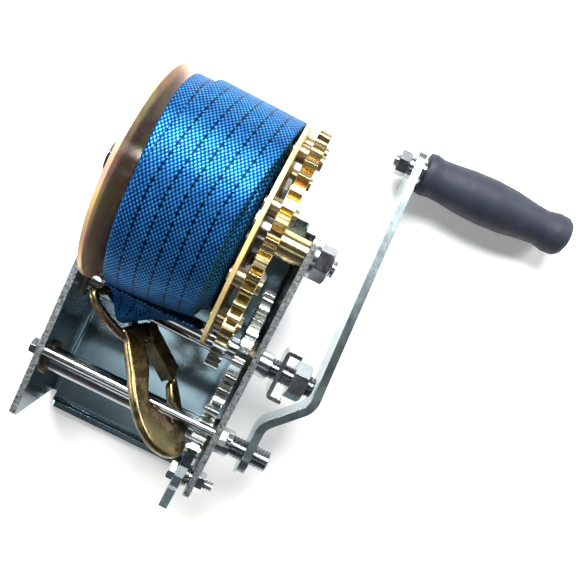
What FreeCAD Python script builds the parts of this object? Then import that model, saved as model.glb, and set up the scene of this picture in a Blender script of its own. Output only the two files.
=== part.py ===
"""Two-speed hand winch for a boat trailer, with a flat strap and a snap hook.

The drum axis is X, with +X towards the crank. +Y is the drum end of the frame and +Z is up.
The origin is on the underside of the base, midway between the side plates and the end lips.
"""
import FreeCAD, Part

import math
import os

import Sketcher

doc = FreeCAD.newDocument("trailer_winch")
sheet = doc.addObject("Spreadsheet::Sheet", "sizes")
Vector = FreeCAD.Vector
Rotation = FreeCAD.Rotation
ALONG_X = Rotation(Vector(0, 1, 0), 90)

SIZES = {
    # frame, one stamping folded into a channel
    "frame_width": 104, "plate_gauge": 3.5, "bend_radius": 6, "corner_radius": 4,
    "plate_front": -76, "plate_rear": 79, "plate_front_top": 62, "plate_rear_top": 79,
    "base_half": 84, "tab_half": 46, "lip_top": 8,
    "slot_width": 9, "slot_length": 15, "slot_spacing": 60, "slot_row": 42, "front_slot_row": -57.5,
    # shaft positions
    "axle_row": 68, "axle_height": 69.5, "middle_height": 44, "drive_height": 47,
    "tie_row": -36, "tie_height": 63, "pawl_row": -71, "pawl_height": 45,
    # gears
    "gear_module": 2.5, "drum_teeth": 45, "wheel_teeth": 28, "pinion_teeth": 10,
    "tooth_play": 0.3, "gear_slack": 0.15, "addendum": 0.9, "dedendum": 1.25,
    "drum_gear_left": 27.7, "drum_gear_width": 6, "middle_pinion_left": 27, "middle_pinion_width": 8,
    "wheel_left": 39.5, "wheel_width": 6, "drive_pinion_left": 38.5, "drive_pinion_width": 8,
    # drum and strap
    "axle_radius": 5, "hole_clearance": 0.1, "running_gap": 0.06,
    "core_radius": 20, "core_inner": 17, "journal_radius": 12, "bush_seat": 9, "core_left": -46,
    "left_flange_left": -43, "left_flange_radius": 57.5, "flange_gauge": 2,
    "right_flange_left": 21.4, "right_flange_radius": 61.5,
    "roll_left": -33, "strap_width": 50, "roll_radius": 56,
    "anchor_radius": 4, "anchor_offset": 29, "rivet_radius": 2.5, "rivet_circle": 49,
    # shafts
    "journal_size": 6, "shaft_radius": 6.5, "collar_radius": 7.5, "bush_outer": 8,
    "bush_flange": 9.5, "bush_flange_width": 1.8, "thread_pitch": 1.75, "thread_depth": 0.9,
    # crank, in its own frame before it is swung down
    "crank_drop": 9.5, "crank_reach": 185, "arm_gauge": 4.6, "arm_width": 25, "arm_end": 12.5,
    "arm_low": 70.3, "arm_high": 90.5, "joggle_start": 18, "joggle_end": 38,
    "joggle_shift": 0.93, "joggle_radius": 9, "arm_lean": 2.5,
    "grip_thread": 4, "grip_pitch": 1.3, "spindle_collar": 7.5, "spindle_radius": 4.5,
    "grip_start": 3.6, "grip_length": 91, "grip_radius": 13.9,
    # pawl
    "pawl_left": 40, "pawl_gauge": 5, "pawl_bolt_radius": 3, "pawl_bush_radius": 4.5,
    # crank seat on the middle shaft
    "saddle_left": 64.2, "saddle_gauge": 2.3, "saddle_half": 14, "saddle_depth": 8.8, "saddle_length": 22,
    # tie rod
    "tie_radius": 2.5,
    # hook, held on the tie rod by the strap, so its plane is turned, sloped and rolled
    "hook_turn": 48, "hook_slope": 2, "hook_roll": 55.5, "hook_gauge": 5.5, "hook_wire": 2.4,
    "hook_across": -30.7, "hook_row": 6.7, "hook_height": 61.8,
    "latch_turn": 83.3, "latch_wall": 1.2, "latch_web": 3,
    "latch_pivot_across": 12.1, "latch_pivot_up": 25.6, "latch_pin_radius": 2,
    "loop_inner": 2.7, "loop_outer": 3.9, "loop_width": 9,
    "tail_left": -36.2, "tail_width": 11, "tail_gauge": 1.8, "tail_row": 8.9,
}


class Size:
    """A length with its value and the sheet expression that gives it."""

    def __init__(self, value, text):
        self.value = value
        self.text = text

    def __add__(self, other):
        return combine(self, other, "+")

    def __radd__(self, other):
        return combine(other, self, "+")

    def __sub__(self, other):
        return combine(self, other, "-")

    def __rsub__(self, other):
        return combine(other, self, "-")

    def __mul__(self, other):
        return combine(self, other, "*")

    def __rmul__(self, other):
        return combine(other, self, "*")

    def __truediv__(self, other):
        return combine(self, other, "/")

    def __neg__(self):
        return combine(0, self, "-")


OPERATIONS = {
    "+": lambda a, b: a + b,
    "-": lambda a, b: a - b,
    "*": lambda a, b: a * b,
    "/": lambda a, b: a / b,
}


def as_size(number):
    """A bare number as a Size."""
    if isinstance(number, Size):
        return number
    return Size(float(number), f"({float(number):.6f})")


def combine(left, right, sign):
    """The sum, difference, product or quotient of two sizes."""
    left = as_size(left)
    right = as_size(right)
    value = OPERATIONS[sign](left.value, right.value)
    return Size(value, f"({left.text} {sign} {right.text})")


def root(size):
    """The square root of a size."""
    return Size(math.sqrt(size.value), f"sqrt({size.text})")


def tangent(size):
    """The tangent of an angle held in degrees."""
    return Size(math.tan(math.radians(size.value)), f"tan({size.text} * 1deg)")


def fill_sheet():
    """Write the driving dimensions and return each one as a Size."""
    sizes = {}
    for row, (name, value) in enumerate(SIZES.items(), start=1):
        sheet.set(f"A{row}", name)
        sheet.set(f"B{row}", str(value))
        sheet.setAlias(f"B{row}", name)
        sizes[name] = Size(float(value), f"sizes.{name}")
    doc.recompute()
    return sizes


S = fill_sheet()
inner_half = S["frame_width"] / 2 - S["plate_gauge"]
outer_half = S["frame_width"] / 2
drum_centres = (S["drum_teeth"] + S["pinion_teeth"]) * S["gear_module"] / 2 + S["gear_slack"]
crank_centres = (S["wheel_teeth"] + S["pinion_teeth"]) * S["gear_module"] / 2 + S["gear_slack"]
middle_fall = S["axle_height"] - S["middle_height"]
drive_rise = S["drive_height"] - S["middle_height"]
middle_row = S["axle_row"] - root(drum_centres * drum_centres - middle_fall * middle_fall)
drive_row = middle_row - root(crank_centres * crank_centres - drive_rise * drive_rise)
AXLE = (S["axle_row"], S["axle_height"])
MIDDLE = (middle_row, S["middle_height"])
DRIVE = (drive_row, S["drive_height"])
TIE = (S["tie_row"], S["tie_height"])
PAWL = (S["pawl_row"], S["pawl_height"])
ORIGIN = (as_size(0), as_size(0))
nodes = []


def bind(item, **lengths):
    """Bind properties of a document object to sheet expressions."""
    for name, size in lengths.items():
        item.setExpression(name, as_size(size).text)


def place(item, start, line, rotation=ALONG_X):
    """Put an object at x = start on a line that runs along X, given as (y, z)."""
    row, height = line
    start = as_size(start)
    item.Placement = FreeCAD.Placement(Vector(start.value, row.value, height.value), rotation)
    item.setExpression(".Placement.Base.x", start.text)
    item.setExpression(".Placement.Base.y", row.text)
    item.setExpression(".Placement.Base.z", height.text)


def node(item, label):
    """Name a finished sub-part."""
    item.Label = label
    nodes.append(item)
    return item


def rod(name, radius, length, start, line):
    """A plain cylinder along X."""
    item = doc.addObject("Part::Cylinder", name)
    bind(item, Radius=radius, Height=length)
    place(item, start, line)
    return item


def joined(name, pieces):
    """Solids fused into one."""
    item = doc.addObject("Part::MultiFuse", name)
    item.Shapes = pieces
    return item


def minus(name, base, tools):
    """One solid with others cut away from it."""
    item = doc.addObject("Part::Cut", name)
    item.Base = base
    item.Tool = tools[0] if len(tools) == 1 else joined(name + "_tools", tools)
    return item


def hexagon(name, across_flats, height, start, line, turn=0, face=1):
    """A hexagonal prism along X, with the corners chamfered on its outer face."""
    if face > 0:
        rotation = Rotation(Vector(0, 1, 0), 90)
        foot = as_size(start)
    else:
        rotation = Rotation(Vector(0, 1, 0), -90)
        foot = as_size(start) + height
    prism = doc.addObject("Part::Prism", name + "_prism")
    prism.Polygon = 6
    bind(prism, Circumradius=as_size(across_flats) / math.sqrt(3), Height=height)
    place(prism, foot, line, rotation.multiply(Rotation(Vector(0, 0, 1), turn)))
    cone = doc.addObject("Part::Cone", name + "_cone")
    crown = as_size(across_flats) * 0.49
    bind(cone, Radius2=crown, Radius1=crown + as_size(height) * math.sqrt(3), Height=height)
    place(cone, foot, line, rotation)
    item = doc.addObject("Part::MultiCommon", name + "_hex")
    item.Shapes = [prism, cone]
    return item


def nut(label, across_flats, height, bore, start, line, turn=0):
    """A hexagon nut whose outer face looks along +X."""
    body = hexagon(label, across_flats, height, start, line, turn)
    hole = rod(label + "_bore", bore, as_size(height) + 2, as_size(start) - 1, line)
    return node(minus(label + "_nut", body, [hole]), label)


def origin_plane(body, role):
    """One of a body's own origin planes."""
    for feature in body.Origin.OriginFeatures:
        if feature.Role == role:
            return feature
    raise ValueError(role)


def sketch_on(body, name, role="XY_Plane"):
    """An empty sketch on one of a body's origin planes."""
    sketch = body.newObject("Sketcher::SketchObject", name)
    sketch.AttachmentSupport = [(origin_plane(body, role), "")]
    sketch.MapMode = "FlatFace"
    return sketch


def pin_point(sketch, shape, end, across, up):
    """Fix one end of a sketch line at sheet-driven coordinates."""
    for kind, size in (("DistanceX", as_size(across)), ("DistanceY", as_size(up))):
        index = sketch.addConstraint(Sketcher.Constraint(kind, -1, 1, shape, end, size.value))
        sketch.setExpression(f"Constraints[{index}]", size.text)


def outline(sketch, corners):
    """Add a closed outline of straight lines through the corners."""
    corners = [(as_size(across), as_size(up)) for across, up in corners]
    first = sketch.GeometryCount
    count = len(corners)
    for index in range(count):
        here = corners[index]
        there = corners[(index + 1) % count]
        sketch.addGeometry(Part.LineSegment(Vector(here[0].value, here[1].value, 0),
                                            Vector(there[0].value, there[1].value, 0)))
    for index in range(count):
        following = first + (index + 1) % count
        sketch.addConstraint(Sketcher.Constraint("Coincident", first + index, 2, following, 1))
        pin_point(sketch, first + index, 1, *corners[index])


def ring(sketch, across, up, radius):
    """Add a circle."""
    across = as_size(across)
    up = as_size(up)
    radius = as_size(radius)
    circle = Part.Circle(Vector(across.value, up.value, 0), Vector(0, 0, 1), radius.value)
    shape = sketch.addGeometry(circle)
    index = sketch.addConstraint(Sketcher.Constraint("Radius", shape, radius.value))
    sketch.setExpression(f"Constraints[{index}]", radius.text)
    pin_point(sketch, shape, 3, across, up)


def turned(name, corners, line):
    """A solid of revolution about X from (distance along X, radius) corners."""
    body = doc.addObject("PartDesign::Body", name + "_body")
    sketch = sketch_on(body, name + "_profile")
    outline(sketch, corners)
    turn = body.newObject("PartDesign::Revolution", name + "_turn")
    turn.Profile = sketch
    turn.ReferenceAxis = (sketch, ["H_Axis"])
    turn.Angle = 360
    if line:
        place(body, 0, line, Rotation())
    return body


def thread(start, length, radius):
    """Corners of a threaded stretch, as a row of rings of the thread's pitch and depth."""
    start = as_size(start)
    radius = as_size(radius)
    count = int(round(length / S["thread_pitch"].value))
    corners = []
    for index in range(count):
        left = start + S["thread_pitch"] * index
        corners.append((left, radius - S["thread_depth"]))
        corners.append((left + S["thread_pitch"] / 2, radius))
    corners.append((start + S["thread_pitch"] * count, radius - S["thread_depth"]))
    return corners


def padded(body, sketch, name, length, both=False, back=False):
    """Pad a sketch in a body."""
    pad = body.newObject("PartDesign::Pad", name)
    pad.Profile = sketch
    bind(pad, Length=length)
    pad.Midplane = both
    pad.Reversed = back
    return pad


def pocketed(body, sketch, name, both=True, back=False):
    """Cut a sketch through everything in a body."""
    doc.recompute()
    before = body.Shape.Volume
    pocket = body.newObject("PartDesign::Pocket", name)
    pocket.Profile = sketch
    pocket.Type = "ThroughAll"
    pocket.Midplane = both
    pocket.Reversed = back
    doc.recompute()
    if body.Shape.Volume > before - 1:
        raise ValueError(f"{name} cuts nothing")
    return pocket


def make_frame():
    """The channel: base, two side plates, and the base's end tabs with their upturned lips."""
    body = doc.addObject("PartDesign::Body", "frame_body")
    gauge = S["plate_gauge"]
    bend = S["bend_radius"]
    side = sketch_on(body, "plate_outline", "YZ_Plane")
    outline(side, [(S["plate_front"], 0), (S["plate_rear"], 0),
                   (S["plate_rear"], S["plate_rear_top"]),
                   (S["plate_front"], S["plate_front_top"])])
    padded(body, side, "channel", S["frame_width"], both=True)
    hollow = sketch_on(body, "channel_inside", "XZ_Plane")
    outline(hollow, [(-inner_half, gauge), (inner_half, gauge),
                     (inner_half, 100), (-inner_half, 100)])
    pocketed(body, hollow, "channel_space")
    tabs = sketch_on(body, "tab_section", "XZ_Plane")
    outline(tabs, [(-S["tab_half"], 0), (S["tab_half"], 0),
                   (S["tab_half"], gauge), (-S["tab_half"], gauge)])
    padded(body, tabs, "end_tabs", S["base_half"] * 2, both=True)
    for name, sign in (("front", -1), ("rear", 1)):
        lip = sketch_on(body, name + "_lip_section", "YZ_Plane")
        end = S["base_half"] * sign
        outline(lip, [(end, 0), (end, S["lip_top"]), (end - gauge * sign, S["lip_top"]),
                      (end - gauge * sign, 0)])
        padded(body, lip, name + "_lip", S["tab_half"] * 2, both=True)
    doc.recompute()
    soften(body, "outer_bends", bend, lambda edge: runs(edge, "Y") and low(edge)
           and beside(edge, outer_half) and length_over(edge, 150))
    soften(body, "inner_bends", bend - gauge, lambda edge: runs(edge, "Y") and beside(edge, inner_half)
           and abs(edge.CenterOfMass.z - gauge.value) < 0.01 and length_over(edge, 150))
    soften(body, "lip_bends", bend * 0.6, lambda edge: runs(edge, "X") and low(edge)
           and abs(abs(edge.CenterOfMass.y) - S["base_half"].value) < 0.01)
    soften(body, "lip_corners", S["corner_radius"],
           lambda edge: runs(edge, "Y") and beside(edge, S["tab_half"])
           and abs(edge.CenterOfMass.z - S["lip_top"].value) < 0.01)
    soften(body, "plate_corners", S["corner_radius"],
           lambda edge: runs(edge, "X") and edge.CenterOfMass.z > 50)
    holes = sketch_on(body, "plate_holes", "YZ_Plane")
    ring(holes, *AXLE, S["axle_radius"] + S["hole_clearance"])
    ring(holes, *MIDDLE, S["bush_outer"])
    ring(holes, *DRIVE, S["bush_outer"])
    ring(holes, *TIE, S["tie_radius"] + S["hole_clearance"])
    pocketed(body, holes, "shaft_holes")
    stub = sketch_on(body, "pawl_hole_outline", "YZ_Plane")
    ring(stub, *PAWL, S["pawl_bolt_radius"] + S["hole_clearance"])
    pocketed(body, stub, "pawl_hole", both=False, back=True)
    slots = sketch_on(body, "base_slots", "XY_Plane")
    for sign in (-1, 1):
        slot(slots, S["slot_spacing"] * sign / 2, S["slot_row"])
    slot(slots, as_size(0), S["front_slot_row"])
    pocketed(body, slots, "mounting_slots")
    return node(body, "frame")


def slot(sketch, across, up):
    """A slot along X with round ends, centred on a point."""
    half = (S["slot_length"] - S["slot_width"]) / 2
    radius = S["slot_width"] / 2
    left = (across - half).value
    right = (across + half).value
    high = (up + radius).value
    low_side = (up - radius).value
    normal = Vector(0, 0, 1)
    first = sketch.GeometryCount
    sketch.addGeometry(Part.LineSegment(Vector(left, high, 0), Vector(right, high, 0)))
    sketch.addGeometry(Part.ArcOfCircle(Part.Circle(Vector(right, up.value, 0), normal, radius.value),
                                        -math.pi / 2, math.pi / 2))
    sketch.addGeometry(Part.LineSegment(Vector(right, low_side, 0), Vector(left, low_side, 0)))
    sketch.addGeometry(Part.ArcOfCircle(Part.Circle(Vector(left, up.value, 0), normal, radius.value),
                                        math.pi / 2, 3 * math.pi / 2))
    for one, end, other, start in ((0, 2, 1, 2), (1, 1, 2, 1), (2, 2, 3, 2), (3, 1, 0, 1)):
        sketch.addConstraint(Sketcher.Constraint("Tangent", first + one, end, first + other, start))
    for arc, centre in ((first + 1, across + half), (first + 3, across - half)):
        pin_point(sketch, arc, 3, centre, up)
    index = sketch.addConstraint(Sketcher.Constraint("Radius", first + 1, radius.value))
    sketch.setExpression(f"Constraints[{index}]", radius.text)


def runs(edge, axis):
    """True for a straight edge along the named axis."""
    if edge.Curve.TypeId != "Part::GeomLine":
        return False
    along = edge.Vertexes[-1].Point - edge.Vertexes[0].Point
    return abs(getattr(along.normalize(), axis.lower())) > 0.999


def low(edge):
    """True for an edge on the underside."""
    return edge.CenterOfMass.z < 0.01


def beside(edge, distance):
    """True for an edge at this distance from the middle plane."""
    return abs(abs(edge.CenterOfMass.x) - distance.value) < 0.01


def length_over(edge, least):
    """True for an edge longer than this."""
    return edge.Length > least


def soften(body, name, radius, chosen):
    """Fillet the chosen edges of a body's tip."""
    doc.recompute()
    tip = body.Tip
    edges = [f"Edge{index}" for index, edge in enumerate(tip.Shape.Edges, start=1) if chosen(edge)]
    if not edges:
        raise ValueError(f"{name} finds no edges")
    fillet = body.newObject("PartDesign::Fillet", name)
    fillet.Base = (tip, edges)
    bind(fillet, Radius=radius)
    doc.recompute()
    if fillet.Shape.isNull():
        raise ValueError(f"{name} failed")


def direction(start, end):
    """The direction in degrees, from +Y towards +Z, between two lines along X."""
    return math.degrees(math.atan2(end[1].value - start[1].value, end[0].value - start[0].value))


def involute_angle(radius, base):
    """How far an involute has turned, in radians, where it reaches this radius."""
    pressure = math.acos(min(1, base / radius))
    return math.tan(pressure) - pressure


def gear_solid(teeth, bore, width):
    """A spur gear along local Z with involute teeth, the first one centred on local +X."""
    module = S["gear_module"].value
    pitch = module * teeth / 2
    base = pitch * math.cos(math.radians(20))
    tip = pitch + module * S["addendum"].value
    root_radius = pitch - module * S["dedendum"].value
    half = math.pi / (2 * teeth) - S["tooth_play"].value / (2 * pitch) + involute_angle(pitch, base)
    start = max(base, root_radius)
    flank_steps = 5
    undercut = 0.78 if root_radius < base else 1
    radii = [start + (tip - start) * step / flank_steps for step in range(flank_steps + 1)]
    flank = [(radius, half - involute_angle(radius, base)) for radius in radii]
    foot = (root_radius, flank[0][1] * undercut)
    edges = []
    step_angle = 2 * math.pi / teeth

    def point(radius, angle):
        return Vector(radius * math.cos(angle), radius * math.sin(angle), 0)

    for index in range(teeth):
        centre = index * step_angle
        rising = [point(radius, centre - angle) for radius, angle in flank]
        falling = [point(radius, centre + angle) for radius, angle in reversed(flank)]
        first_foot = point(foot[0], centre - foot[1])
        last_foot = point(foot[0], centre + foot[1])
        next_foot = point(foot[0], centre + step_angle - foot[1])
        if root_radius < base - 0.01:
            edges.append(Part.LineSegment(first_foot, rising[0]).toShape())
        for points in (rising, falling):
            curve = Part.BSplineCurve()
            curve.interpolate(points)
            if points is falling:
                edges.append(Part.Arc(rising[-1], point(tip, centre), falling[0]).toShape())
            edges.append(curve.toShape())
        if root_radius < base - 0.01:
            edges.append(Part.LineSegment(falling[-1], last_foot).toShape())
        valley = point(root_radius, centre + step_angle / 2)
        edges.append(Part.Arc(last_foot, valley, next_foot).toShape())
    blank = Part.Face(Part.Wire(edges)).extrude(Vector(0, 0, width.value))
    return blank.cut(Part.makeCylinder(bore.value, width.value))


def gear(label, teeth, left, width, bore, line, toward, on_tooth):
    """A spur gear with a tooth, or a space, facing a direction given from +Y towards +Z."""
    item = doc.addObject("Part::Feature", label)
    item.Shape = gear_solid(int(teeth.value), bore, width)
    turn = toward + 90
    if not on_tooth:
        turn += 180 / teeth.value
    place(item, left, line, ALONG_X.multiply(Rotation(Vector(0, 0, 1), turn)))
    return node(item, label)


def make_axle():
    """The bolt that the drum turns on, with its spacer, washers and nut."""
    radius = S["axle_radius"]
    thread_start = outer_half + 1
    corners = [(-outer_half - 1, 0), (-outer_half - 1, radius), (thread_start, radius)]
    corners += thread(thread_start, 12.25, radius)
    corners.append((thread_start + S["thread_pitch"] * 7, 0))
    shank = turned("axle", corners, AXLE)
    head = hexagon("axle_head", 17, 6.4, -outer_half - 6.4, AXLE, turn=12, face=-1)
    node(joined("axle_whole", [shank, head]), "axle_bolt")
    washer("axle_spacer", 7.3, radius + S["hole_clearance"], gear_right, inner_half - gear_right, AXLE)
    washer("axle_thrust_washer", 9, radius + S["hole_clearance"], -inner_half,
           inner_half + S["core_left"] - S["hole_clearance"], AXLE)
    washer("axle_washer", 10, radius + S["hole_clearance"], outer_half, 2, AXLE)
    nut("axle_nut", 17, 8, radius + 0.05, outer_half + 2, AXLE, turn=20)


def washer(label, outer, bore, start, width, line):
    """A ring along X, such as a washer, a spacer or a bush."""
    body = rod(label + "_disc", outer, width, start, line)
    hole = rod(label + "_bore", bore, as_size(width) + 2, as_size(start) - 1, line)
    return node(minus(label + "_ring", body, [hole]), label)


gear_right = S["drum_gear_left"] + S["drum_gear_width"] + S["hole_clearance"]
core_right = S["drum_gear_left"] + S["drum_gear_width"]


def around(angle, radius, line):
    """The line along X at an angle, from +Z towards +Y, and a radius about another line."""
    angle = math.radians(angle)
    return (line[0] + as_size(radius) * math.sin(angle), line[1] + as_size(radius) * math.cos(angle))


def make_drum():
    """The drum: core, bushes, flanges, gear, and the rivets and spacers that hold the gear."""
    seat = S["bush_seat"]
    journal = S["journal_radius"]
    left = S["core_left"]
    left_inside = S["left_flange_left"] + S["flange_gauge"]
    right_inside = S["right_flange_left"]
    core = turned("core", [
        (left, seat), (left, journal), (left_inside, journal), (left_inside, S["core_radius"]),
        (right_inside, S["core_radius"]), (right_inside, journal), (core_right, journal),
        (core_right, seat), (right_inside - 8, seat), (right_inside - 8, S["core_inner"]),
        (left_inside + 15, S["core_inner"]), (left_inside + 15, seat)], AXLE)
    node(core, "drum_core")
    bush_bore = S["axle_radius"] + S["running_gap"]
    washer("drum_bush_left", seat, bush_bore, left, 20, AXLE)
    washer("drum_bush_right", seat, bush_bore, core_right - 20, 20, AXLE)
    anchor = around(120, S["anchor_offset"], AXLE)
    rivets = [around(40 * index - 24, S["rivet_circle"], AXLE) for index in range(9)]
    flange("left_flange", S["left_flange_left"], S["left_flange_radius"], [anchor])
    flange("right_flange", S["right_flange_left"], S["right_flange_radius"], [anchor] + rivets)
    make_drum_gear(rivets)
    make_rivets(rivets)
    make_strap_roll(anchor)
    make_anchor(anchor)


def flange(label, left, radius, holes):
    """A drum flange with bolt and rivet holes."""
    disc = rod(label + "_disc", radius, S["flange_gauge"], left, AXLE)
    tools = [rod(label + "_bore", S["journal_radius"], S["flange_gauge"] + 2, left - 1, AXLE)]
    for index, line in enumerate(holes):
        size = S["anchor_radius"] if index == 0 else S["rivet_radius"]
        tools.append(rod(f"{label}_hole{index}", size + S["running_gap"], S["flange_gauge"] + 2,
                         left - 1, line))
    return node(minus(label + "_plate", disc, tools), label)


def make_drum_gear(rivets):
    """The large gear that turns the drum, drilled for its rivets."""
    blank = doc.addObject("Part::Feature", "drum_gear_blank")
    teeth = int(S["drum_teeth"].value)
    blank.Shape = gear_solid(teeth, S["journal_radius"], S["drum_gear_width"])
    turn = Rotation(Vector(0, 0, 1), direction(AXLE, MIDDLE) + 90)
    place(blank, S["drum_gear_left"], AXLE, ALONG_X.multiply(turn))
    tools = [rod(f"gear_hole{index}", S["rivet_radius"] + S["running_gap"],
                 S["drum_gear_width"] + 2, S["drum_gear_left"] - 1, line)
             for index, line in enumerate(rivets)]
    node(minus("drum_gear_drilled", blank, tools), "drum_gear")


def make_rivets(rivets):
    """Rivets through the right flange and the gear, and the spacer ring on each between them."""
    shanks = []
    spacers = []
    flange_left = S["right_flange_left"]
    flange_right = flange_left + S["flange_gauge"]
    for index, line in enumerate(rivets):
        shank = rod(f"rivet{index}", S["rivet_radius"], core_right - flange_left + 1, flange_left - 0.5,
                    line)
        head = rod(f"rivet_head{index}", S["rivet_radius"] + 1.2, 2, core_right, line)
        tail = rod(f"rivet_tail{index}", S["rivet_radius"] + 1, 1.2, flange_left - 1.2, line)
        shanks.append(joined(f"rivet_whole{index}", [shank, head, tail]))
        disc = rod(f"spacer_disc{index}", S["rivet_radius"] + 2, S["drum_gear_left"] - flange_right,
                   flange_right, line)
        hole = rod(f"spacer_bore{index}", S["rivet_radius"] + S["running_gap"],
                   S["drum_gear_left"] - flange_right + 2, flange_right - 1, line)
        spacers.append(minus(f"spacer{index}", disc, [hole]))
    for label, pieces in (("gear_rivets", shanks), ("gear_spacers", spacers)):
        group = doc.addObject("Part::Compound", label)
        group.Links = pieces
        node(group, label)


def make_strap_roll(anchor):
    """The wound strap, a plain cylinder round the core."""
    roll = rod("roll_solid", S["roll_radius"], S["strap_width"], S["roll_left"], AXLE)
    tools = [rod("roll_bore", S["core_radius"], S["strap_width"] + 2, S["roll_left"] - 1, AXLE),
             rod("roll_anchor_hole", S["anchor_radius"] + S["running_gap"], S["strap_width"] + 2,
                 S["roll_left"] - 1, anchor)]
    node(minus("roll_cut", roll, tools), "strap_roll")


def make_anchor(anchor):
    """The bolt through both flanges that holds the inner end of the strap, and its nut."""
    left = S["left_flange_left"]
    right = S["right_flange_left"] + S["flange_gauge"]
    radius = S["anchor_radius"]
    shank = rod("anchor_shank", radius, right - left + 3.4, left - 1, anchor)
    head = hexagon("anchor_head", 10, 2.6, left - 2.6, anchor, face=-1)
    node(joined("anchor_whole", [shank, head]), "strap_anchor_bolt")
    nut("strap_anchor_nut", 12, 3, radius + 0.05, right, anchor)


def shaft(label, line, collar_length, thread_count):
    """A gear shaft: journals in the two side plates and a threaded crank end on the right."""
    body = S["shaft_radius"]
    journal = S["journal_size"]
    shoulder = inner_half - S["bush_flange_width"] - S["hole_clearance"]
    thread_start = outer_half + S["hole_clearance"] + collar_length
    length = SIZES["thread_pitch"] * thread_count
    corners = [(-outer_half, 0), (-outer_half, journal), (-shoulder, journal), (-shoulder, body),
               (shoulder, body), (shoulder, journal), (thread_start, journal)]
    corners += thread(thread_start, length, journal)
    corners.append((thread_start + S["thread_pitch"] * thread_count, 0))
    node(turned(label, corners, line), label)


def bush(label, line, side):
    """A flanged bush in a side plate, flange inside."""
    flange_width = S["bush_flange_width"]
    bore = S["journal_size"] + S["running_gap"]
    corners = [(outer_half, bore), (outer_half, S["bush_outer"]), (inner_half, S["bush_outer"]),
               (inner_half, S["bush_flange"]), (inner_half - flange_width, S["bush_flange"]),
               (inner_half - flange_width, bore)]
    if side < 0:
        corners = [(-across, up) for across, up in corners]
    node(turned(label, corners, line), label)


def make_gear_shafts():
    """The middle shaft with its pinion and wheel, and the drive shaft with its pinion."""
    collar = as_size(8)
    shaft("middle_shaft", MIDDLE, collar, 15)
    shaft("drive_shaft", DRIVE, collar, 13)
    for name, line in (("middle", MIDDLE), ("drive", DRIVE)):
        bush(name + "_bush_left", line, -1)
        bush(name + "_bush_right", line, 1)
        washer(name + "_collar", S["collar_radius"], S["journal_size"], outer_half + 2 * S["hole_clearance"],
               collar - S["hole_clearance"], line)
    to_drum = direction(MIDDLE, AXLE)
    to_drive = direction(MIDDLE, DRIVE)
    bore = S["shaft_radius"]
    gear("middle_pinion", S["pinion_teeth"], S["middle_pinion_left"], S["middle_pinion_width"], bore,
         MIDDLE, to_drum, on_tooth=False)
    gear("middle_wheel", S["wheel_teeth"], S["wheel_left"], S["wheel_width"], bore, MIDDLE,
         to_drive, on_tooth=True)
    gear("drive_pinion", S["pinion_teeth"], S["drive_pinion_left"], S["drive_pinion_width"],
         bore, DRIVE, to_drive + 180, on_tooth=False)


def make_saddle():
    """The U-shaped seat for the crank arm on the middle shaft, and the nut that holds it."""
    body = doc.addObject("PartDesign::Body", "saddle_body")
    gauge = S["saddle_gauge"]
    half = S["saddle_half"]
    left = S["saddle_left"]
    section = sketch_on(body, "saddle_section", "XY_Plane")
    outline(section, [(left, -half), (left + S["saddle_depth"], -half),
                      (left + S["saddle_depth"], gauge - half), (left + gauge, gauge - half),
                      (left + gauge, half - gauge), (left + S["saddle_depth"], half - gauge),
                      (left + S["saddle_depth"], half), (left, half)])
    padded(body, section, "saddle_strip", S["saddle_length"], both=True)
    soften(body, "saddle_bends", gauge, lambda edge: runs(edge, "Z")
           and abs(edge.CenterOfMass.x - left.value) < 0.01)
    hole = sketch_on(body, "saddle_hole_outline", "YZ_Plane")
    ring(hole, 0, 0, S["journal_size"] + 0.05)
    pocketed(body, hole, "saddle_hole")
    place(body, 0, MIDDLE, Rotation(Vector(1, 0, 0), -4))
    node(body, "crank_saddle")
    nut("saddle_nut", 19, 9, S["journal_size"] + 0.05, 73.1, MIDDLE, turn=30)


def crank_place():
    """The crank's own frame: on the drive shaft, with the arm along +Y and swung down to rest."""
    turn = Rotation(Vector(-1, 0, 0), S["crank_drop"].value)
    return FreeCAD.Placement(Vector(0, DRIVE[0].value, DRIVE[1].value), turn)


def arm_across(along):
    """How far out the leaning part of the arm is, at a distance along the crank."""
    return S["arm_high"] - (along - S["joggle_end"]) * tangent(S["arm_lean"])


def grip_place():
    """The grip's own frame: its axis along X, starting on the arm's outer face."""
    turn = Rotation(Vector(0, 0, 1), S["arm_lean"].value)
    base = Vector((arm_across(S["crank_reach"]) + S["arm_gauge"] / 2).value, S["crank_reach"].value, 0)
    return crank_place().multiply(FreeCAD.Placement(base, turn))


def make_arm():
    """The crank arm, a flat bar with a joggle, round ends and a hole at each end."""
    body = doc.addObject("PartDesign::Body", "arm_body")
    half = S["arm_gauge"] / 2
    shift = S["joggle_shift"]
    reach = S["crank_reach"] + S["arm_end"]
    side = sketch_on(body, "arm_side", "XY_Plane")
    outline(side, [(S["arm_low"] - half, -S["arm_end"]), (S["arm_low"] + half, -S["arm_end"]),
                   (S["arm_low"] + half, S["joggle_start"] - shift),
                   (S["arm_high"] + half, S["joggle_end"] - shift),
                   (arm_across(reach) + half, reach), (arm_across(reach) - half, reach),
                   (S["arm_high"] - half, S["joggle_end"] + shift),
                   (S["arm_low"] - half, S["joggle_start"] + shift)])
    padded(body, side, "arm_bar", S["arm_width"], both=True)
    soften(body, "arm_ends", S["arm_end"] - 0.1, lambda edge: across_end(edge, reach))
    soften(body, "joggle_inside", S["joggle_radius"], lambda edge: joggle_edge(edge, 1))
    soften(body, "joggle_outside", S["joggle_radius"] + S["arm_gauge"],
           lambda edge: joggle_edge(edge, -1))
    bores = sketch_on(body, "arm_bores", "YZ_Plane")
    ring(bores, 0, 0, S["journal_size"] + 0.02)
    ring(bores, S["crank_reach"], 0, S["grip_thread"] + 0.3)
    pocketed(body, bores, "arm_holes")
    body.Placement = crank_place()
    node(body, "crank_arm")


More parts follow.
